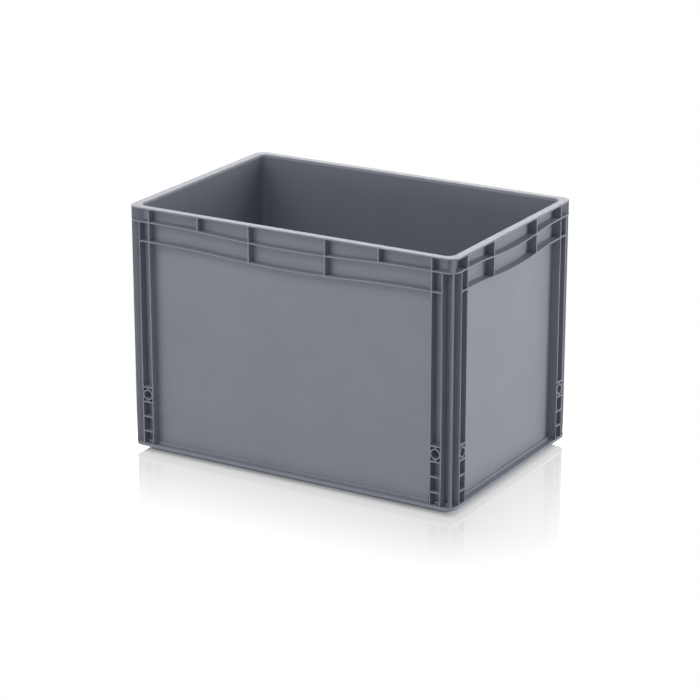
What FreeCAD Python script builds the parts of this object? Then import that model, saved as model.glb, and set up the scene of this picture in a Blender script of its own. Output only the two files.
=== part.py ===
import FreeCAD, Part
import math
import os
import Sketcher

# Euro stacking container, 600 x 400 x 420 mm, moulded in one piece.
#
# Frame: +X along the long side, +Y along the short side, +Z up. The origin is the centre of the
# footprint on the floor, so the foot stands on Z = 0 and the rim's top face is at Z = height.
#
# How the piece is built up: the container is the same on both sides of its two middle planes, so
# only the quarter at +X, +Y is drawn, and two mirror images make it whole. In the quarter, a
# drafted block gives the outside of the walls. Every rib is a plate that runs right through the
# block and out to the outline, and the cavity, cut last, takes the plates' inner parts away.

# Driving dimensions, in millimetres. Heights are above the floor, drops are below the rim's top,
# insets are measured inwards from the outline of the rim, and offsets along a side from the
# outline's corner.
SIZES = {
    # outline
    "length": 600.0,
    "width": 400.0,
    "height": 420.0,
    "outline_radius": 17.0,
    # rim and walls
    "rim_thickness": 2.5,
    "wall_inset": 14.2,
    "wall_draft": 1.0,
    "wall_thickness": 2.3,
    "wall_corner_radius": 11.0,
    "cavity_corner_radius": 9.0,
    # foot, flange and base
    "foot_height": 11.0,
    "foot_inset": 18.5,
    "foot_radius": 9.0,
    "foot_bevel": 1.2,
    "foot_wall": 3.5,
    "flange_thickness": 5.3,
    "plinth_height": 3.4,
    "plinth_inset": 11.3,
    "base_thickness": 4.0,
    "cavity_taper_height": 30.0,
    "cavity_floor_fillet": 4.0,
    "base_ring_width": 24.0,
    "base_recess": 1.5,
    # ribs
    "rib_thickness": 2.5,
    "corner_rib_offset": 22.0,
    "column_rib_offset": 41.0,
    "short_rib_offset": 134.5,
    "long_band_rib": 70.0,
    "side_band_rib": 72.5,
    "arris_thickness": 2.6,
    "arris_head_thickness": 5.0,
    # the two sagging ribs round the body
    "upper_rib_drop": 23.5,
    "sagging_rib_pitch": 32.5,
    "rib_sag": 6.8,
    "long_sag_offset": 70.0,
    "long_sag_run": 105.0,
    "side_sag_offset": 58.0,
    "side_sag_run": 60.0,
    # cells and rings at the foot of the corner columns
    "first_cross_rib": 38.0,
    "cross_rib_pitch": 25.5,
    "ring_radius": 9.2,
    "ring_wall": 2.1,
    "ring_web": 2.0,
    # rounded edges
    "rim_edge_radius": 0.8,
    "rim_mouth_radius": 2.5,
}
CROSS_RIBS = 4
NODE = "container"

doc = FreeCAD.newDocument("euro_container")
sheet = doc.addObject("Spreadsheet::Sheet", "Sizes")
for row, (alias, measure) in enumerate(SIZES.items(), start=1):
    sheet.set(f"A{row}", alias)
    sheet.set(f"B{row}", str(measure))
    sheet.setAlias(f"B{row}", alias)
doc.recompute()

# The container's body, and the body whose form is the space inside it.
container = doc.addObject("PartDesign::Body", "Container")
container.Label = NODE
space = doc.addObject("PartDesign::Body", "Space")
body = container


def sized(formula):
    """Turn a formula in size names, such as 'length / 2', into one that names the sheet's cells."""
    words = formula.replace("(", " ( ").replace(")", " ) ").split()
    named = " ".join("Sizes." + word if word in SIZES else word for word in words)
    return named.replace("sqrt (", "sqrt(").replace("atan (", "atan(")


def number(formula):
    """Work out a formula in size names."""
    return float(sheet.evalExpression(sized(formula)))


# Formulas that several features share.
HALF_LENGTH = "length / 2"
HALF_WIDTH = "width / 2"
FLANGE_MIDDLE = "( foot_height + flange_thickness / 2 )"
RIM_MIDDLE = "( height - rim_thickness / 2 )"
HALF_RIB = "rib_thickness / 2"
RING_HEIGHT = f"( first_cross_rib + ( {CROSS_RIBS} - 1.5 ) * cross_rib_pitch )"
CELL_MIDDLE = "( corner_rib_offset + column_rib_offset ) / 2"
UPPER_RIB = "( height - upper_rib_drop )"
LOWER_RIB = "( height - upper_rib_drop - sagging_rib_pitch )"

# The cavity's insets: where its foot starts and where its walls start. The taper between them
# makes the corner's radius smaller by as much as the inset grows.
FLOOR_INSET = "( foot_inset + foot_wall )"
WALL_SLOPE = "wall_draft / ( height - foot_height )"
WAIST_INSET = (
    "( wall_inset + wall_thickness + wall_draft * ( height - cavity_taper_height )"
    " / ( height - foot_height ) )"
)
FLOOR_RADIUS = f"( cavity_corner_radius - ( {FLOOR_INSET} - {WAIST_INSET} ) )"

# Where a sagging rib starts to fall and where its end arc meets its middle arc, both measured
# from the middle plane.
LONG_REACH = f"( {HALF_LENGTH} - long_sag_offset )"
SIDE_REACH = f"( {HALF_WIDTH} - side_sag_offset )"
LONG_SAG = (LONG_REACH, f"( {LONG_REACH} - long_sag_run )")
SIDE_SAG = (SIDE_REACH, f"( {SIDE_REACH} - side_sag_run )")

# The quarter's two outer sides: the plane a side's ribs are drawn on, the run along that plane,
# and the breadth that a plate needs to reach the outline from there.
LONG_SIDE = ("XZ_Plane", HALF_LENGTH, HALF_WIDTH)
SHORT_SIDE = ("YZ_Plane", HALF_WIDTH, HALF_LENGTH)


def origin_plane(role):
    """Find one of the body's three origin planes."""
    return next(plane for plane in body.Origin.OriginFeatures if plane.Role == role)


def new_sketch(name, plane, height="0"):
    """Start a sketch on one of the body's origin planes, lifted along the plane's normal."""
    sketch = body.newObject("Sketcher::SketchObject", name)
    sketch.AttachmentSupport = (origin_plane(plane), [""])
    sketch.MapMode = "FlatFace"
    if height != "0":
        sketch.setExpression("AttachmentOffset.Base.z", sized(height))
    return sketch


def measure_constraint(sketch, formula, *arguments):
    """Add a constraint whose value follows a formula."""
    index = sketch.addConstraint(Sketcher.Constraint(*arguments, number(formula)))
    sketch.setExpression(f"Constraints[{index}]", sized(formula))


def pin_point(sketch, curve, end, across, up):
    """Fix a curve's end point by its two distances from the sketch's origin."""
    measure_constraint(sketch, across, "DistanceX", -1, 1, curve, end)
    measure_constraint(sketch, up, "DistanceY", -1, 1, curve, end)


def draw_polygon(sketch, corners):
    """Draw a closed outline of straight lines through corners given as pairs of formulas."""
    points = [FreeCAD.Vector(number(across), number(up), 0) for across, up in corners]
    for index, point in enumerate(points):
        following = points[(index + 1) % len(points)]
        sketch.addGeometry(Part.LineSegment(point, following), False)
    first = sketch.GeometryCount - len(points)
    for index, (across, up) in enumerate(corners):
        following = first + (index + 1) % len(points)
        sketch.addConstraint(Sketcher.Constraint("Coincident", first + index, 2, following, 1))
        pin_point(sketch, first + index, 1, across, up)


def draw_bar(sketch, left, right, bottom, top):
    """Draw an upright rectangle between four formulas."""
    draw_polygon(sketch, [(left, bottom), (right, bottom), (right, top), (left, top)])


def draw_quarter(sketch, half_across, half_up, radius):
    """Draw the quarter of a rounded rectangle: two sides on the middle lines, one round corner."""
    across, up, bend = number(half_across), number(half_up), number(radius)
    points = [
        FreeCAD.Vector(0, 0, 0),
        FreeCAD.Vector(across, 0, 0),
        FreeCAD.Vector(across, up - bend, 0),
        FreeCAD.Vector(across - bend, up, 0),
        FreeCAD.Vector(0, up, 0),
    ]
    bottom = sketch.addGeometry(Part.LineSegment(points[0], points[1]), False)
    right = sketch.addGeometry(Part.LineSegment(points[1], points[2]), False)
    top = sketch.addGeometry(Part.LineSegment(points[3], points[4]), False)
    left = sketch.addGeometry(Part.LineSegment(points[4], points[0]), False)
    centre = FreeCAD.Vector(across - bend, up - bend, 0)
    circle = Part.Circle(centre, FreeCAD.Vector(0, 0, 1), bend)
    corner = sketch.addGeometry(Part.ArcOfCircle(circle, 0, math.pi / 2), False)
    for line in (bottom, top):
        sketch.addConstraint(Sketcher.Constraint("Horizontal", line))
    for line in (left, right):
        sketch.addConstraint(Sketcher.Constraint("Vertical", line))
    sketch.addConstraint(Sketcher.Constraint("Coincident", bottom, 1, -1, 1))
    sketch.addConstraint(Sketcher.Constraint("Coincident", bottom, 2, right, 1))
    sketch.addConstraint(Sketcher.Constraint("Tangent", right, 2, corner, 1))
    sketch.addConstraint(Sketcher.Constraint("Tangent", corner, 2, top, 1))
    sketch.addConstraint(Sketcher.Constraint("Coincident", top, 2, left, 1))
    sketch.addConstraint(Sketcher.Constraint("Coincident", left, 2, bottom, 1))
    measure_constraint(sketch, half_across, "DistanceX", -1, 1, bottom, 2)
    measure_constraint(sketch, half_up, "DistanceY", -1, 1, top, 2)
    measure_constraint(sketch, radius, "Radius", corner)


def pad(name, sketch, length, backwards=False):
    """Add material from a sketch, along its normal or against it."""
    feature = body.newObject("PartDesign::Pad", name)
    feature.Profile = sketch
    feature.setExpression("Length", sized(length))
    feature.Reversed = backwards
    return feature


def side_pad(name, sketch, side):
    """Run a plate drawn on a side's plane out to the outline, towards +Y or +X."""
    plane, _, breadth = side
    return pad(name, sketch, breadth, backwards=plane == "XZ_Plane")


def pocket(name, sketch, depth):
    """Take material away above a sketch, and prove that it cut."""
    doc.recompute()
    before = body.Shape.Volume
    feature = body.newObject("PartDesign::Pocket", name)
    feature.Profile = sketch
    feature.setExpression("Length", sized(depth))
    feature.Reversed = True
    doc.recompute()
    if body.Shape.Volume >= before:
        raise RuntimeError(f"{name} cut nothing")
    return feature


def drafted_pad(name, height, inset, radius, length, slope):
    """Raise a block whose outer sides start at an inset and lean outwards by a slope."""
    sketch = level_sketch(f"{name}_plan", height, inset, radius)
    pad(name, sketch, length)
    foot_plane = body.newObject("PartDesign::Plane", f"{name}_foot")
    foot_plane.AttachmentSupport = (origin_plane("XY_Plane"), [""])
    foot_plane.MapMode = "FlatFace"
    foot_plane.setExpression("AttachmentOffset.Base.z", sized(height))
    doc.recompute()
    base, sides = body.Tip, upright_faces(height)
    feature = body.newObject("PartDesign::Draft", f"{name}_draft")
    feature.Base = (base, sides)
    feature.NeutralPlane = (foot_plane, [""])
    feature.setExpression("Angle", sized(f"atan ( {slope} )"))
    feature.Reversed = True
    return feature


def mirror(name, plane):
    """Add the mirror image of the whole body in one of its origin planes."""
    doc.recompute()
    feature = body.newObject("PartDesign::Mirrored", name)
    feature.TransformMode = "Whole shape"
    feature.MirrorPlane = (origin_plane(plane), [""])
    body.Tip = feature
    return feature


def level_sketch(name, height, inset, radius):
    """Draw the quarter's outline, moved inwards by an inset, at a height."""
    sketch = new_sketch(name, "XY_Plane", height)
    half_length = f"{HALF_LENGTH} - ( {inset} )"
    half_width = f"{HALF_WIDTH} - ( {inset} )"
    draw_quarter(sketch, half_length, half_width, radius)
    return sketch


def sag_radii(reach, bend):
    """Give the radii of a sagging rib's middle arc and of its end arcs, as formulas."""
    middle_drop = f"( rib_sag * {bend} / {reach} )"
    end_drop = f"( rib_sag - {middle_drop} )"
    end_run = f"( {reach} - {bend} )"
    middle = f"( ( {bend} ^ 2 + {middle_drop} ^ 2 ) / ( 2 * {middle_drop} ) )"
    ends = f"( ( {end_run} ^ 2 + {end_drop} ^ 2 ) / ( 2 * {end_drop} ) )"
    return middle, ends


def sag_height(rib_height, reach, bend, along):
    """Give a sagging rib's mid-height at a distance from its middle, as a formula."""
    middle, ends = sag_radii(reach, bend)
    in_middle = f"( {rib_height} - rib_sag + {middle} - sqrt ( {middle} ^ 2 - ( {along} ) ^ 2 ) )"
    left = f"( {reach} - ( {along} ) )"
    at_ends = f"( {rib_height} - {ends} + sqrt ( {ends} ^ 2 - {left} ^ 2 ) )"
    if number(along) <= number(bend):
        return in_middle
    if number(along) < number(reach):
        return at_ends
    return f"( {rib_height} )"


def draw_sagging_edge(sketch, half_run, reach, bend, height):
    """Draw half an edge of a sagging rib: its low middle, two tangent arcs up, then level.

    Returns the numbers of the arc at the middle plane and of the level line.
    """
    middle_formula, ends_formula = sag_radii(reach, bend)
    middle_radius, end_radius = number(middle_formula), number(ends_formula)
    level, far = number(height), number(reach)
    bottom = level - number("rib_sag")
    slope = math.asin(number(bend) / middle_radius)
    normal = FreeCAD.Vector(0, 0, 1)
    low = Part.Circle(FreeCAD.Vector(0, bottom + middle_radius, 0), normal, middle_radius)
    high = Part.Circle(FreeCAD.Vector(far, level - end_radius, 0), normal, end_radius)
    down, up = 3 * math.pi / 2, math.pi / 2
    level_start = FreeCAD.Vector(far, level, 0)
    level_end = FreeCAD.Vector(number(half_run), level, 0)
    middle_arc = sketch.addGeometry(Part.ArcOfCircle(low, down, down + slope), False)
    end_arc = sketch.addGeometry(Part.ArcOfCircle(high, up, up + slope), False)
    line = sketch.addGeometry(Part.LineSegment(level_start, level_end), False)
    sketch.addConstraint(Sketcher.Constraint("Tangent", middle_arc, 2, end_arc, 2))
    sketch.addConstraint(Sketcher.Constraint("Tangent", end_arc, 1, line, 1))
    sketch.addConstraint(Sketcher.Constraint("PointOnObject", middle_arc, 1, -2))
    measure_constraint(sketch, f"{height} - rib_sag", "DistanceY", -1, 1, middle_arc, 1)
    pin_point(sketch, middle_arc, 2, bend, f"{height} - rib_sag * ( 1 - {bend} / {reach} )")
    pin_point(sketch, line, 1, reach, height)
    pin_point(sketch, line, 2, half_run, height)
    return middle_arc, line


def sagging_ribs(name, side, reach, bend):
    """Lay the two sagging ribs along a side, from the middle plane to the corner rib."""
    plane, run, _ = side
    sketch = new_sketch(name + "_outline", plane)
    half_run = f"{run} - corner_rib_offset"
    for rib_height in (UPPER_RIB, LOWER_RIB):
        top = f"( {rib_height} + {HALF_RIB} )"
        bottom = f"( {rib_height} - {HALF_RIB} )"
        top_arc, top_line = draw_sagging_edge(sketch, half_run, reach, bend, top)
        bottom_arc, bottom_line = draw_sagging_edge(sketch, half_run, reach, bend, bottom)
        for upper, lower, end in ((top_arc, bottom_arc, 1), (top_line, bottom_line, 2)):
            start = sketch.getPoint(upper, end)
            finish = sketch.getPoint(lower, end)
            closing = sketch.addGeometry(Part.LineSegment(start, finish), False)
            sketch.addConstraint(Sketcher.Constraint("Coincident", closing, 1, upper, end))
            sketch.addConstraint(Sketcher.Constraint("Coincident", closing, 2, lower, end))
    return side_pad(name, sketch, side)


def upright_ribs(name, side, ribs):
    """Stand plates across a side, each given by its place along it, its bottom and its top."""
    plane, _, _ = side
    sketch = new_sketch(name + "_outline", plane)
    for place, bottom, top in ribs:
        draw_bar(sketch, f"{place} - {HALF_RIB}", f"{place} + {HALF_RIB}", bottom, top)
    return side_pad(name, sketch, side)


def arris_rib(name, thickness, bottom, top):
    """Stand a plate on the corner's diagonal, out to beyond the outline's corner arc."""
    sketch = new_sketch(name + "_plan", "XY_Plane", bottom)
    slant = f"( {thickness} / 2 / sqrt ( 2 ) )"
    reach_in = "( wall_inset + wall_corner_radius )"
    draw_polygon(sketch, [
        (f"{HALF_LENGTH} - {reach_in} + {slant}", f"{HALF_WIDTH} - {reach_in} - {slant}"),
        (f"{HALF_LENGTH} + {slant}", f"{HALF_WIDTH} - {slant}"),
        (f"{HALF_LENGTH} - {slant}", f"{HALF_WIDTH} + {slant}"),
        (f"{HALF_LENGTH} - {reach_in} - {slant}", f"{HALF_WIDTH} - {reach_in} + {slant}"),
    ])
    return pad(name, sketch, f"{top} - {bottom}")


def column_cells(name, side):
    """Fit the cross ribs, the ring and its webs between the two ribs of a corner column."""
    plane, run, _ = side
    inner = f"{run} - column_rib_offset"
    outer = f"{run} - corner_rib_offset"
    middle = f"{run} - {CELL_MIDDLE}"

    sketch = new_sketch(name + "_cross_rib_outline", plane)
    for index in range(CROSS_RIBS):
        rib_height = f"first_cross_rib + {index} * cross_rib_pitch"
        bottom, top = f"{rib_height} - {HALF_RIB}", f"{rib_height} + {HALF_RIB}"
        draw_bar(sketch, inner, outer, bottom, top)
    side_pad(name + "_cross_ribs", sketch, side)

    sketch = new_sketch(name + "_ring_outline", plane)
    centre = FreeCAD.Vector(number(middle), number(RING_HEIGHT), 0)
    for radius in ("ring_radius", "ring_radius - ring_wall"):
        outline = Part.Circle(centre, FreeCAD.Vector(0, 0, 1), number(radius))
        circle = sketch.addGeometry(outline, False)
        pin_point(sketch, circle, 3, middle, RING_HEIGHT)
        measure_constraint(sketch, radius, "Radius", circle)
    side_pad(name + "_ring", sketch, side)

    sketch = new_sketch(name + "_web_outline", plane)
    near = "( ring_radius - ring_wall / 2 )"
    far = "( cross_rib_pitch / 2 )"
    left, right = f"{middle} - ring_web / 2", f"{middle} + ring_web / 2"
    draw_bar(sketch, left, right, f"{RING_HEIGHT} + {near}", f"{RING_HEIGHT} + {far}")
    draw_bar(sketch, left, right, f"{RING_HEIGHT} - {far}", f"{RING_HEIGHT} - {near}")
    side_pad(name + "_webs", sketch, side)


def upright_faces(height):
    """Name the upright faces above a height, without those in the two middle planes."""
    level = number(height)
    names = []
    for index, face in enumerate(body.Shape.Faces, start=1):
        points = [vertex.Point for vertex in face.Vertexes]
        above = all(point.z > level - 0.001 for point in points)
        is_level = max(point.z for point in points) - min(point.z for point in points) < 0.001
        in_x_plane = all(abs(point.x) < 0.001 for point in points)
        in_y_plane = all(abs(point.y) < 0.001 for point in points)
        if above and not is_level and not in_x_plane and not in_y_plane:
            names.append(f"Face{index}")
    return names


def level_edges(height, inset, within):
    """Name the edges at a height, without those that lie in the two middle planes.

    Only edges within the outline moved inwards by an inset count, or only those outside it.
    """
    level = number(height)
    across = number(f"{HALF_LENGTH} - ( {inset} )")
    up = number(f"{HALF_WIDTH} - ( {inset} )")
    names = []
    for index, edge in enumerate(body.Shape.Edges, start=1):
        ends = [vertex.Point for vertex in edge.Vertexes]
        at_height = all(abs(point.z - level) < 0.001 for point in ends)
        in_x_plane = all(abs(point.x) < 0.001 for point in ends)
        in_y_plane = all(abs(point.y) < 0.001 for point in ends)
        is_within = all(point.x < across and point.y < up for point in ends)
        if at_height and is_within == within and not in_x_plane and not in_y_plane:
            names.append(f"Edge{index}")
    return names


def finish_edges(kind, name, height, size_property, size, inset="0", within=True):
    """Fillet or chamfer the loops of edges at a height, within the outline's inset or outside it."""
    doc.recompute()
    base, edges = body.Tip, level_edges(height, inset, within)
    feature = body.newObject(f"PartDesign::{kind}", name)
    feature.Base = (base, edges)
    feature.setExpression(size_property, sized(size))
    return feature


# The space inside: a tapered foot above the floor, then walls with a slight draft up to the rim.
body = space
drafted_pad(
    "space_foot", "base_thickness", FLOOR_INSET, FLOOR_RADIUS,
    "cavity_taper_height - base_thickness",
    f"( {FLOOR_INSET} - ( {WAIST_INSET} ) ) / ( cavity_taper_height - base_thickness )",
)
drafted_pad(
    "space_walls", "cavity_taper_height", WAIST_INSET, "cavity_corner_radius",
    "height - cavity_taper_height", WALL_SLOPE,
)
finish_edges("Fillet", "floor_fillet", "base_thickness", "Radius", "cavity_floor_fillet")
doc.recompute()

# Outside of the walls: a drafted block from the flange up to the rim.
body = container
drafted_pad(
    "wall_block", "foot_height", "wall_inset + wall_draft", "wall_corner_radius",
    "height - foot_height", WALL_SLOPE,
)

# The foot fits inside the rim of the container below, whose rim then carries the flange.
pad("foot", level_sketch("foot_plan", "0", "foot_inset", "foot_radius"), FLANGE_MIDDLE)
flange_plan = level_sketch("flange_plan", "foot_height", "0", "outline_radius")
pad("flange", flange_plan, "flange_thickness")
plinth_radius = "outline_radius - plinth_inset"
plinth_plan = level_sketch("plinth_plan", FLANGE_MIDDLE, "plinth_inset", plinth_radius)
pad("plinth", plinth_plan, "flange_thickness / 2 + plinth_height")
rim_plan = level_sketch("rim_plan", "( height - rim_thickness )", "0", "outline_radius")
pad("rim", rim_plan, "rim_thickness")

# The two ribs that run round the body and sag between the corner columns.
sagging_ribs("sagging_ribs_long", LONG_SIDE, *LONG_SAG)
sagging_ribs("sagging_ribs_side", SHORT_SIDE, *SIDE_SAG)

# The upper rib also turns round the corner, as a level plate outside the corner ribs.
corner_plan = new_sketch("upper_rib_corner_plan", "XY_Plane", f"{UPPER_RIB} - {HALF_RIB}")
draw_bar(
    corner_plan,
    f"{HALF_LENGTH} - column_rib_offset",
    HALF_LENGTH,
    f"{HALF_WIDTH} - column_rib_offset",
    HALF_WIDTH,
)
pad("upper_rib_corner", corner_plan, "rib_thickness")

# Upright ribs. The corner ribs end at the upper rib, the others run up to the rim: the column ribs
# from the flange, the band ribs from the lower rib and the short rib from the upper rib.
def column_ribs(side):
    """List the column rib and the corner rib of a side."""
    _, run, _ = side
    return [
        (f"{run} - column_rib_offset", FLANGE_MIDDLE, RIM_MIDDLE),
        (f"{run} - corner_rib_offset", FLANGE_MIDDLE, UPPER_RIB),
    ]


short_rib = f"( {HALF_LENGTH} - short_rib_offset )"
long_band_foot = sag_height(LOWER_RIB, *LONG_SAG, "long_band_rib")
side_band_foot = sag_height(LOWER_RIB, *SIDE_SAG, "side_band_rib")
short_foot = sag_height(UPPER_RIB, *LONG_SAG, short_rib)
upright_ribs("upright_ribs_long", LONG_SIDE, column_ribs(LONG_SIDE) + [
    ("long_band_rib", long_band_foot, RIM_MIDDLE),
    (short_rib, short_foot, RIM_MIDDLE),
])
upright_ribs("upright_ribs_side", SHORT_SIDE, column_ribs(SHORT_SIDE) + [
    ("side_band_rib", side_band_foot, RIM_MIDDLE),
])

# The rib on the corner's arris, thicker above the upper rib.
arris_rib("arris_rib", "arris_thickness", FLANGE_MIDDLE, UPPER_RIB)
arris_rib("arris_head", "arris_head_thickness", UPPER_RIB, RIM_MIDDLE)

# Cells and rings at the foot of the corner columns.
column_cells("long_cells", LONG_SIDE)
column_cells("side_cells", SHORT_SIDE)

# One cut outside the outline's corner arc trims the corner plate and the arris ribs to it.
trim_plan = new_sketch("trim_plan", "XY_Plane")
draw_quarter(trim_plan, HALF_LENGTH, HALF_WIDTH, "outline_radius")
draw_bar(trim_plan, "0 - width", "length", "0 - width", "width")
pocket("outline_trim", trim_plan, "height + 1")

# The space cuts the cavity, and with it the inner parts of the ribs.
cavity = container.newObject("PartDesign::Boolean", "cavity")
cavity.Type = "Cut"
cavity.addObjects([space])

# Rounded edges of the rim outside and at the mouth, and the lead-in at the bottom of the foot.
finish_edges("Fillet", "rim_fillet", "height", "Radius", "rim_edge_radius", "wall_inset", False)
finish_edges("Fillet", "mouth_fillet", "height", "Radius", "rim_mouth_radius", "wall_inset")
finish_edges("Chamfer", "foot_lead_in", "0", "Size", "foot_bevel")

# The middle of the underside is raised, so that the container stands on a flat ring.
recess_inset = "foot_inset + base_ring_width"
recess_plan = level_sketch("recess_plan", "0", recess_inset, "cavity_corner_radius")
pocket("base_recess", recess_plan, "base_recess")

# The quarter's mirror images make the half and then the whole.
mirror("half", "XZ_Plane")
mirror("whole", "YZ_Plane")

doc.recompute()
for item in doc.Objects:
    if "Invalid" in item.State or "Error" in item.State:
        raise RuntimeError(f"{item.Name} failed: {item.State}")
if body.Shape.isNull() or not body.Shape.isValid() or len(body.Shape.Solids) != 1:
    raise RuntimeError("the container is not one valid solid")

os.makedirs("parts", exist_ok=True)
body.Shape.exportStep(f"parts/{body.Label}.step")
print("volume cm3", body.Shape.Volume / 1000, "faces", len(body.Shape.Faces))
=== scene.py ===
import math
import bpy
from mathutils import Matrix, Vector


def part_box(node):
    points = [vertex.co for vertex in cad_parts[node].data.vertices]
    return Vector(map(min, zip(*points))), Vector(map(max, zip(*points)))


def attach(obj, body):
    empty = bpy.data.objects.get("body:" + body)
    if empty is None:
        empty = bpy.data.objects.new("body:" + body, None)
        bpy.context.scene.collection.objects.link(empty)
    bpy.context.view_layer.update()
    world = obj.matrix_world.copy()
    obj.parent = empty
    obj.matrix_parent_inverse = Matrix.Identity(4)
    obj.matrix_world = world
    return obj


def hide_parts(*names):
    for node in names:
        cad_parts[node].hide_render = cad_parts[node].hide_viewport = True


bl_info = {
    "name": "Stacking container",
    "version": (1, 0, 0),
    "blender": (4, 5, 0),
    "location": "3D View > Sidebar > Container",
    "description": "Dresses the stacking container's moulding and sets up its studio",
    "category": "Object",
}

import bmesh
import bpy
from mathutils import Matrix, Vector

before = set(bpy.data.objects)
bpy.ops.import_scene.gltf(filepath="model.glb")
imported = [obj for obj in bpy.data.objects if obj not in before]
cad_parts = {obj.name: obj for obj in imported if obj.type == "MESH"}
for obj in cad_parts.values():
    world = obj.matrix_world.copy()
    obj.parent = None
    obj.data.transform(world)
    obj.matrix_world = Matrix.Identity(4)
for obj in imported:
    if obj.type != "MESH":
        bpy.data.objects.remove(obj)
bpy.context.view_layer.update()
NODE = "container"
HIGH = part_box(NODE)[1]
MM = 0.001

# The foot stands this far inside the flange, on every side.
FOOT_INSET = 18.5 * MM

# The rim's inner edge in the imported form: half the mouth's length and width at the rim's top, the
# radius of its corners, the radius of its rounding, and how far a chord leaves that rounding.
MOUTH_HALF_LENGTH = 283.5 * MM
MOUTH_HALF_WIDTH = 183.5 * MM
MOUTH_CORNER = 9.95 * MM
PACKED_ROUNDING = 2.5 * MM
CHORD_SLACK = 0.25 * MM

# Edges across that rounding turn by more than this, in radians, and are cut this often.
RUNG_TURN = 0.05
RUNG_CUTS = 2

# Steps of the rounding on the other edges, and how much a large face outweighs a small one in
# the shading of the corners that they share.
EDGE_STEPS = 2
FLAT_WEIGHT = 100

# The noise textures spend most of their area in this range.
NOISE_RANGE = {"From Min": 0.3, "From Max": 0.7}
GLOSS_SPREAD = 0.05
PLASTIC_IOR = 1.49

# The studio: roughness of the floor's mirror, and the floor's and the view's reach in metres.
MIRROR_ROUGHNESS = 0.05
FLOOR_HALF_SIZE = 20
VIEW_DEPTH = 100


class ContainerMoulding(bpy.types.PropertyGroup):
    """Edges of the moulding."""

    edge_radius: bpy.props.FloatProperty(
        name="Edge radius",
        description="Width of the rounding on every sharp edge and root of a rib",
        default=0.45 * MM, min=0.0, max=2 * MM, precision=5, subtype="DISTANCE",
    )
    mouth_radius: bpy.props.FloatProperty(
        name="Mouth radius",
        description="Radius of the rounding on the rim's inner edge",
        default=4.5 * MM, min=2.5 * MM, max=6 * MM, precision=4, subtype="DISTANCE",
    )
    sharp_angle: bpy.props.FloatProperty(
        name="Sharp angle",
        description="Edges that turn by more than this get the rounding",
        default=math.radians(70), min=0.1, max=math.pi / 2, subtype="ANGLE",
    )
    weld_distance: bpy.props.FloatProperty(
        name="Weld distance",
        description="Corners of the packed mesh that are nearer than this become one",
        default=0.01 * MM, min=0.0, max=0.1 * MM, precision=6, subtype="DISTANCE",
    )
    flat_angle: bpy.props.FloatProperty(
        name="Flat angle",
        description="Two triangles that turn by less than this are joined into one face",
        default=math.radians(0.3), min=0.0, max=0.1, subtype="ANGLE",
    )


class ContainerPlastic(bpy.types.PropertyGroup):
    """Finish of the plastic."""

    colour: bpy.props.FloatVectorProperty(
        name="Colour",
        description="Colour of the grey polypropylene",
        default=(0.252, 0.270, 0.318), size=3, min=0.0, max=1.0, subtype="COLOR",
    )
    roughness: bpy.props.FloatProperty(
        name="Roughness",
        description="Mean roughness of the moulded surface",
        default=0.42, min=0.0, max=1.0, subtype="FACTOR",
    )
    grain_size: bpy.props.FloatProperty(
        name="Grain size",
        description="Size of the fine grain that the mould leaves on the surface",
        default=0.7 * MM, min=0.05 * MM, max=5 * MM, precision=5, subtype="DISTANCE",
    )
    grain_depth: bpy.props.FloatProperty(
        name="Grain depth",
        description="Height of the fine grain",
        default=0.012 * MM, min=0.0, max=0.2 * MM, precision=6, subtype="DISTANCE",
    )
    flow_size: bpy.props.FloatProperty(
        name="Flow mark size",
        description="Size of the faint clouds that the flow of the melt leaves",
        default=90 * MM, min=5 * MM, max=500 * MM, subtype="DISTANCE",
    )
    flow_contrast: bpy.props.FloatProperty(
        name="Flow mark contrast",
        description="How far the clouds are lighter or darker than the plastic",
        default=0.035, min=0.0, max=0.5, subtype="FACTOR",
    )


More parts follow.
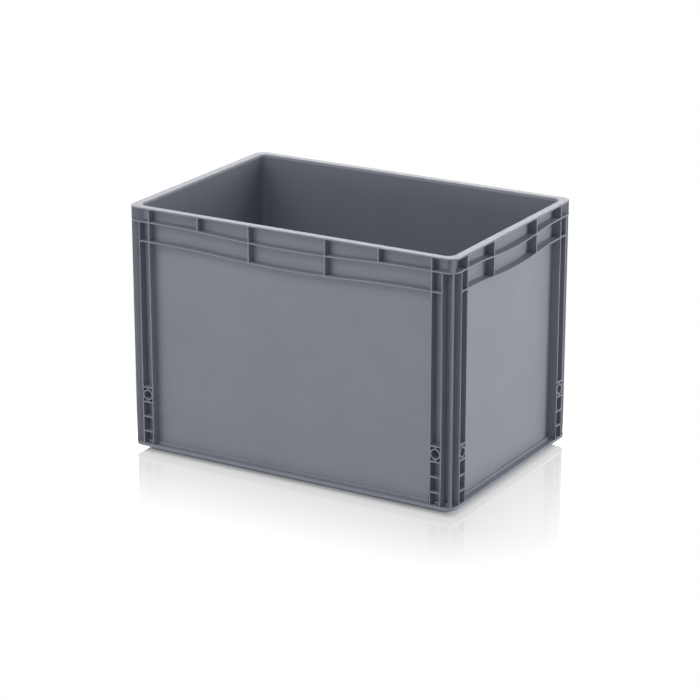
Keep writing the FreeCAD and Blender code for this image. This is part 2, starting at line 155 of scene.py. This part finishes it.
class ContainerStudio(bpy.types.PropertyGroup):
    """Camera, light and floor."""

    camera_place: bpy.props.FloatVectorProperty(
        name="Camera place",
        description="Where the camera stands",
        default=(2.1347, -3.6269, 1.6000), size=3, subtype="TRANSLATION",
    )
    camera_heading: bpy.props.FloatProperty(
        name="Camera heading",
        description="Turn of the camera's view from +Y towards -X",
        default=math.radians(30.50), subtype="ANGLE",
    )
    camera_dip: bpy.props.FloatProperty(
        name="Camera dip",
        description="Fall of the camera's view below the horizon",
        default=math.radians(18.80), subtype="ANGLE",
    )
    lens: bpy.props.FloatProperty(
        name="Lens",
        description="Focal length in millimetres on a sensor of full frame width",
        default=139.0, min=10.0, max=500.0, unit="CAMERA",
    )
    sky: bpy.props.FloatProperty(
        name="Sky",
        description="Brightness of the soft light from all round",
        default=0.25, min=0.0, max=4.0,
    )
    overhead: bpy.props.FloatProperty(
        name="Overhead",
        description="How much brighter the soft light is overhead than at the horizon",
        default=0.00, min=0.0, max=8.0,
    )
    backdrop: bpy.props.FloatProperty(
        name="Backdrop",
        description="Brightness of the white that the camera and reflections see",
        default=1.0, min=0.0, max=1.0,
    )
    front_light: bpy.props.FloatProperty(
        name="Front light",
        description="Power of the soft light low in front of the long side",
        default=17.5, min=0.0, max=1000.0, subtype="POWER",
    )
    high_front_light: bpy.props.FloatProperty(
        name="High front light",
        description="Power of the soft light high up in front of the long side",
        default=24.0, min=0.0, max=1000.0, subtype="POWER",
    )
    high_left_light: bpy.props.FloatProperty(
        name="High left light",
        description="Power of the soft light high up at the front left",
        default=8.8, min=0.0, max=1000.0, subtype="POWER",
    )
    right_light: bpy.props.FloatProperty(
        name="Right light",
        description="Power of the soft light low at the right",
        default=38.3, min=0.0, max=1000.0, subtype="POWER",
    )
    high_right_light: bpy.props.FloatProperty(
        name="High right light",
        description="Power of the soft light high up at the right, behind",
        default=15.2, min=0.0, max=1000.0, subtype="POWER",
    )
    back_light: bpy.props.FloatProperty(
        name="Back light",
        description="Power of the soft light behind, which gives the rim its sheen",
        default=37.0, min=0.0, max=1000.0, subtype="POWER",
    )
    floor_tone: bpy.props.FloatProperty(
        name="Floor tone",
        description="How pale the floor is as it throws light back at the container",
        default=0.7, min=0.0, max=1.0, subtype="FACTOR",
    )
    floor_seen: bpy.props.FloatProperty(
        name="Floor seen",
        description="White of the floor beside the container as the camera sees it",
        default=1.0, min=0.0, max=1.0, subtype="FACTOR",
    )
    floor_mirror: bpy.props.FloatProperty(
        name="Floor mirror",
        description="Strength of the container's faint reflection in the floor",
        default=0.37, min=0.0, max=1.0, subtype="FACTOR",
    )
    mirror_reach: bpy.props.FloatProperty(
        name="Mirror reach",
        description="Distance from the foot at which the container's reflection has faded out",
        default=208 * MM, min=1 * MM, max=2.0, subtype="DISTANCE",
    )
    shadow_reach: bpy.props.FloatProperty(
        name="Shadow reach",
        description="Distance from the foot at which the shadow on the floor has faded out",
        default=24 * MM, min=1 * MM, max=2.0, subtype="DISTANCE",
    )
    contact_white: bpy.props.FloatProperty(
        name="Contact white",
        description="Share of plain white in the shadow right beside the foot",
        default=0.25, min=0.0, max=1.0, subtype="FACTOR",
    )


def mouth_reach(point):
    """Measure how far outwards a point lies from the mouth's outline, and the way outwards."""
    across = abs(point.x) - MOUTH_HALF_LENGTH + MOUTH_CORNER
    along = abs(point.y) - MOUTH_HALF_WIDTH + MOUTH_CORNER
    if across > 0 and along > 0:
        reach = math.hypot(across, along)
        way = Vector((across / reach, along / reach, 0))
    elif across > along:
        reach, way = across, Vector((1, 0, 0))
    else:
        reach, way = along, Vector((0, 1, 0))
    way.x = math.copysign(way.x, point.x)
    way.y = math.copysign(way.y, point.y)
    return reach - MOUTH_CORNER, way


def rounding_angle(point):
    """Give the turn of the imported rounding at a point, from level to upright, or None off it."""
    reach, _ = mouth_reach(point)
    inward = PACKED_ROUNDING - reach
    rise = point.z - HIGH[2] + PACKED_ROUNDING
    off_circle = abs(math.hypot(inward, rise) - PACKED_ROUNDING)
    if off_circle > CHORD_SLACK or inward < -CHORD_SLACK or rise < -CHORD_SLACK:
        return None
    return min(max(math.atan2(inward, rise), 0.0), math.pi / 2)


def round_mouth(form, radius):
    """Widen the rounding of the rim's inner edge to a radius, in smoother steps."""
    rungs = []
    for edge in form.edges:
        angles = [rounding_angle(vert.co) for vert in edge.verts]
        if None not in angles and abs(angles[0] - angles[1]) > RUNG_TURN:
            rungs.append(edge)
    if not rungs:
        raise RuntimeError("the packed form has no rounding on the rim's inner edge")
    bmesh.ops.subdivide_edges(form, edges=rungs, cuts=RUNG_CUTS, use_grid_fill=True)
    for vert in form.verts:
        angle = rounding_angle(vert.co)
        if angle is not None:
            reach, way = mouth_reach(vert.co)
            vert.co += way * (radius * (1 - math.sin(angle)) - reach)
            vert.co.z = HIGH[2] - radius * (1 - math.cos(angle))


def new_material(name):
    """Start a material with a bare Principled shader and hand back its tree and shader."""
    material = bpy.data.materials.new(name)
    material.use_nodes = True
    tree = material.node_tree
    tree.nodes.clear()
    output = tree.nodes.new("ShaderNodeOutputMaterial")
    shader = tree.nodes.new("ShaderNodeBsdfPrincipled")
    tree.links.new(shader.outputs["BSDF"], output.inputs["Surface"])
    return material, tree, shader


def add_node(tree, kind, **settings):
    """Add a shader node, set its properties, and set inputs that are given by their names."""
    node = tree.nodes.new(kind)
    inputs = settings.pop("inputs", {})
    for key, value in settings.items():
        setattr(node, key, value)
    for key, value in inputs.items():
        node.inputs[key].default_value = value
    return node


def plastic_material(finish):
    """Grey polypropylene: satin, with fine grain, faint flow marks and a little uneven gloss."""
    material, tree, shader = new_material("grey_polypropylene")
    link = tree.links.new
    place = add_node(tree, "ShaderNodeTexCoord").outputs["Object"]

    flow = add_node(tree, "ShaderNodeTexNoise", inputs={
        "Scale": 1 / finish.flow_size, "Detail": 3.0, "Roughness": 0.55, "Distortion": 0.4,
    })
    link(place, flow.inputs["Vector"])
    tone = add_node(tree, "ShaderNodeMapRange", inputs={
        **NOISE_RANGE,
        "To Min": 1 - finish.flow_contrast, "To Max": 1 + finish.flow_contrast,
    })
    link(flow.outputs["Fac"], tone.inputs["Value"])
    colour = add_node(tree, "ShaderNodeMix", data_type="RGBA", blend_type="MULTIPLY")
    colour.inputs["Factor"].default_value = 1.0
    colour.inputs["A"].default_value = (*finish.colour, 1)
    link(tone.outputs["Result"], colour.inputs["B"])
    link(colour.outputs["Result"], shader.inputs["Base Color"])

    grain = add_node(tree, "ShaderNodeTexNoise", inputs={
        "Scale": 1 / finish.grain_size, "Detail": 2.0, "Roughness": 0.6,
    })
    link(place, grain.inputs["Vector"])
    gloss = add_node(tree, "ShaderNodeMapRange", inputs={
        **NOISE_RANGE,
        "To Min": finish.roughness - GLOSS_SPREAD, "To Max": finish.roughness + GLOSS_SPREAD,
    })
    link(grain.outputs["Fac"], gloss.inputs["Value"])
    link(gloss.outputs["Result"], shader.inputs["Roughness"])
    bump = add_node(tree, "ShaderNodeBump", inputs={
        "Strength": 1.0, "Distance": finish.grain_depth,
    })
    link(grain.outputs["Fac"], bump.inputs["Height"])
    link(bump.outputs["Normal"], shader.inputs["Normal"])
    shader.inputs["IOR"].default_value = PLASTIC_IOR
    return material


def seen_rays(tree):
    """Tell the camera's rays and the rays of reflections and clear bodies from those of light."""
    rays = add_node(tree, "ShaderNodeLightPath")
    mirrored = add_node(tree, "ShaderNodeMath", operation="ADD", use_clamp=True)
    tree.links.new(rays.outputs["Is Camera Ray"], mirrored.inputs[0])
    tree.links.new(rays.outputs["Is Glossy Ray"], mirrored.inputs[1])
    seen = add_node(tree, "ShaderNodeMath", operation="ADD", use_clamp=True)
    tree.links.new(mirrored.outputs["Value"], seen.inputs[0])
    tree.links.new(rays.outputs["Is Transmission Ray"], seen.inputs[1])
    return rays.outputs["Is Camera Ray"], seen.outputs["Value"]


def floor_material(studio):
    """White floor: shaded by the container, which it mirrors faintly, and plain white far off."""
    material = bpy.data.materials.new("studio_floor")
    material.use_nodes = True
    tree = material.node_tree
    tree.nodes.clear()
    link = tree.links.new
    to_camera, seen = seen_rays(tree)

    place = add_node(tree, "ShaderNodeTexCoord").outputs["Object"]
    folded = add_node(tree, "ShaderNodeVectorMath", operation="ABSOLUTE")
    link(place, folded.inputs[0])
    beyond = add_node(tree, "ShaderNodeVectorMath", operation="SUBTRACT", inputs={
        1: (HIGH[0] - FOOT_INSET, HIGH[1] - FOOT_INSET, 0),
    })
    link(folded.outputs["Vector"], beyond.inputs[0])
    outside = add_node(tree, "ShaderNodeVectorMath", operation="MAXIMUM", inputs={1: (0, 0, 0)})
    link(beyond.outputs["Vector"], outside.inputs[0])
    distance = add_node(tree, "ShaderNodeVectorMath", operation="LENGTH")
    link(outside.outputs["Vector"], distance.inputs[0])

    # Near the container the floor takes light and shade; the camera sees the rest as plain white.
    white = add_node(tree, "ShaderNodeMapRange", inputs={
        "To Min": studio.floor_tone, "To Max": studio.floor_seen,
    })
    link(to_camera, white.inputs["Value"])
    matt = add_node(tree, "ShaderNodeBsdfDiffuse")
    link(white.outputs["Result"], matt.inputs["Color"])
    glow = add_node(tree, "ShaderNodeEmission", inputs={
        "Color": (1, 1, 1, 1), "Strength": studio.backdrop,
    })
    clear = add_node(tree, "ShaderNodeMapRange", interpolation_type="SMOOTHSTEP", inputs={
        "From Min": 0.0, "From Max": studio.shadow_reach,
        "To Min": studio.contact_white, "To Max": 1.0,
    })
    link(distance.outputs["Value"], clear.inputs["Value"])
    clear_seen = add_node(tree, "ShaderNodeMath", operation="MULTIPLY")
    link(clear.outputs["Result"], clear_seen.inputs[0])
    link(seen, clear_seen.inputs[1])
    ground = add_node(tree, "ShaderNodeMixShader")
    link(clear_seen.outputs["Value"], ground.inputs["Fac"])
    link(matt.outputs["BSDF"], ground.inputs[1])
    link(glow.outputs["Emission"], ground.inputs[2])

    # The container's reflection, which fades away from its foot.
    mirror = add_node(tree, "ShaderNodeBsdfGlossy", inputs={
        "Color": (1, 1, 1, 1), "Roughness": MIRROR_ROUGHNESS,
    })
    fading = add_node(tree, "ShaderNodeMapRange", inputs={
        "From Min": 0.0, "From Max": studio.mirror_reach,
        "To Min": studio.floor_mirror, "To Max": 0.0,
    })
    link(distance.outputs["Value"], fading.inputs["Value"])
    mirrored = add_node(tree, "ShaderNodeMath", operation="MULTIPLY")
    link(fading.outputs["Result"], mirrored.inputs[0])
    link(to_camera, mirrored.inputs[1])
    floor = add_node(tree, "ShaderNodeMixShader")
    link(mirrored.outputs["Value"], floor.inputs["Fac"])
    link(ground.outputs["Shader"], floor.inputs[1])
    link(mirror.outputs["BSDF"], floor.inputs[2])
    output = add_node(tree, "ShaderNodeOutputMaterial")
    link(floor.outputs["Shader"], output.inputs["Surface"])
    return material


class OBJECT_OT_container_moulding(bpy.types.Operator):
    """Make the visible moulding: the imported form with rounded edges, in grey plastic"""

    bl_idname = "object.container_moulding"
    bl_label = "Moulding"

    def execute(self, context):
        shape = context.scene.container_moulding
        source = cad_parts[NODE]
        form = bmesh.new()
        form.from_mesh(source.data)
        bmesh.ops.remove_doubles(form, verts=form.verts, dist=shape.weld_distance)
        bmesh.ops.join_triangles(
            form, faces=form.faces, angle_face_threshold=shape.flat_angle,
            angle_shape_threshold=math.pi,
        )
        round_mouth(form, shape.mouth_radius)
        for face in form.faces:
            face.smooth = True
        mesh = bpy.data.meshes.new("moulding")
        form.to_mesh(mesh)
        form.free()
        if "custom_normal" in mesh.attributes:
            mesh.attributes.remove(mesh.attributes["custom_normal"])
        moulding = bpy.data.objects.new("moulding", mesh)
        context.scene.collection.objects.link(moulding)
        mesh.materials.clear()
        mesh.materials.append(plastic_material(context.scene.container_plastic))

        rounding = moulding.modifiers.new("rounding", "BEVEL")
        rounding.width = shape.edge_radius
        rounding.segments = EDGE_STEPS
        rounding.limit_method = "ANGLE"
        rounding.angle_limit = shape.sharp_angle
        rounding.use_clamp_overlap = False
        rounding.harden_normals = True
        rounding.miter_outer = "MITER_ARC"
        flatness = moulding.modifiers.new("flat_faces", "WEIGHTED_NORMAL")
        flatness.weight = FLAT_WEIGHT

        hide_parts(NODE)
        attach(moulding, "root")
        return {"FINISHED"}


class OBJECT_OT_container_studio(bpy.types.Operator):
    """Set up the white floor, the soft light and the camera"""

    bl_idname = "object.container_studio"
    bl_label = "Studio"

    def execute(self, context):
        studio = context.scene.container_studio
        self.make_floor(context, studio)
        self.make_world(context, studio)
        self.make_lights(context, studio)
        self.make_camera(context, studio)
        context.scene.view_settings.view_transform = "Standard"
        return {"FINISHED"}

    def make_floor(self, context, studio):
        """Lay a wide flat floor under the foot."""
        form = bmesh.new()
        bmesh.ops.create_grid(form, x_segments=1, y_segments=1, size=FLOOR_HALF_SIZE)
        mesh = bpy.data.meshes.new("floor")
        form.to_mesh(mesh)
        form.free()
        mesh.materials.append(floor_material(studio))
        floor = bpy.data.objects.new("floor", mesh)
        context.scene.collection.objects.link(floor)

    def make_world(self, context, studio):
        """Surround the scene with an even white that the camera and reflections see as white."""
        world = bpy.data.worlds.new("white_studio")
        world.use_nodes = True
        tree = world.node_tree
        tree.nodes.clear()
        link = tree.links.new
        _, seen = seen_rays(tree)
        place = add_node(tree, "ShaderNodeTexCoord").outputs["Generated"]
        split = add_node(tree, "ShaderNodeSeparateXYZ")
        link(place, split.inputs["Vector"])
        dome = add_node(tree, "ShaderNodeMapRange", inputs={
            "From Min": 0.0, "From Max": 1.0,
            "To Min": studio.sky, "To Max": studio.sky + studio.overhead,
        })
        link(split.outputs["Z"], dome.inputs["Value"])
        strength = add_node(tree, "ShaderNodeMapRange", inputs={"To Max": studio.backdrop})
        link(seen, strength.inputs["Value"])
        link(dome.outputs["Result"], strength.inputs["To Min"])
        background = add_node(tree, "ShaderNodeBackground", inputs={"Color": (1, 1, 1, 1)})
        link(strength.outputs["Result"], background.inputs["Strength"])
        output = add_node(tree, "ShaderNodeOutputWorld")
        link(background.outputs["Background"], output.inputs["Surface"])
        context.scene.world = world

    def make_lights(self, context, studio):
        """Hang the soft lights round the container: place, size and power of each."""
        soft_lights = {
            "front_light": ((-0.6, -3.2, 0.4), (2.0, 0.7), studio.front_light),
            "high_front_light": ((-0.8, -2.2, 2.6), (2.0, 1.2), studio.high_front_light),
            "high_left_light": ((-2.0, -2.2, 2.0), (1.6, 1.2), studio.high_left_light),
            "right_light": ((2.7, 1.3, 0.5), (1.6, 0.9), studio.right_light),
            "high_right_light": ((2.2, 1.6, 2.0), (1.6, 1.4), studio.high_right_light),
            "back_light": ((-1.7, 3.1, 1.9), (2.2, 1.2), studio.back_light),
        }
        middle = Vector((0, 0, HIGH[2] / 2))
        for name, (place, size, power) in soft_lights.items():
            light = bpy.data.lights.new(name, "AREA")
            light.shape = "RECTANGLE"
            light.size, light.size_y = size
            light.energy = power
            lamp = bpy.data.objects.new(name, light)
            lamp.visible_camera = False
            context.scene.collection.objects.link(lamp)
            aim = (middle - Vector(place)).to_track_quat("-Z", "Y")
            lamp.matrix_world = Matrix.LocRotScale(Vector(place), aim, None)

    def make_camera(self, context, studio):
        """Stand the camera at the photograph's viewpoint, aimed at the container."""
        heading, dip = studio.camera_heading, studio.camera_dip
        ahead = Vector((
            -math.sin(heading) * math.cos(dip),
            math.cos(heading) * math.cos(dip),
            -math.sin(dip),
        ))
        data = bpy.data.cameras.new("camera")
        data.lens = studio.lens
        data.clip_end = VIEW_DEPTH
        camera = bpy.data.objects.new("camera", data)
        context.scene.collection.objects.link(camera)
        camera.rotation_mode = "QUATERNION"
        camera.location = studio.camera_place
        camera.rotation_quaternion = ahead.to_track_quat("-Z", "Y")
        context.scene.camera = camera


class VIEW3D_PT_container(bpy.types.Panel):
    """Sizes, finish and studio of the container"""

    bl_label = "Container"
    bl_space_type = "VIEW_3D"
    bl_region_type = "UI"
    bl_category = "Container"

    def draw(self, context):
        for group in (
            context.scene.container_moulding,
            context.scene.container_plastic,
            context.scene.container_studio,
        ):
            for key in group.__annotations__:
                self.layout.prop(group, key)
        self.layout.operator(OBJECT_OT_container_moulding.bl_idname)
        self.layout.operator(OBJECT_OT_container_studio.bl_idname)


CLASSES = (
    ContainerMoulding,
    ContainerPlastic,
    ContainerStudio,
    OBJECT_OT_container_moulding,
    OBJECT_OT_container_studio,
    VIEW3D_PT_container,
)


def register():
    """Register the classes and hang the settings on the scene."""
    for cls in CLASSES:
        bpy.utils.register_class(cls)
    bpy.types.Scene.container_moulding = bpy.props.PointerProperty(type=ContainerMoulding)
    bpy.types.Scene.container_plastic = bpy.props.PointerProperty(type=ContainerPlastic)
    bpy.types.Scene.container_studio = bpy.props.PointerProperty(type=ContainerStudio)


def unregister():
    """Take the settings and the classes away again."""
    del bpy.types.Scene.container_studio
    del bpy.types.Scene.container_plastic
    del bpy.types.Scene.container_moulding
    for cls in reversed(CLASSES):
        bpy.utils.unregister_class(cls)


def main():
    """Build the visible container and its studio."""
    register()
    bpy.ops.object.container_moulding()
    bpy.ops.object.container_studio()


if __name__ == "__main__":
    main()
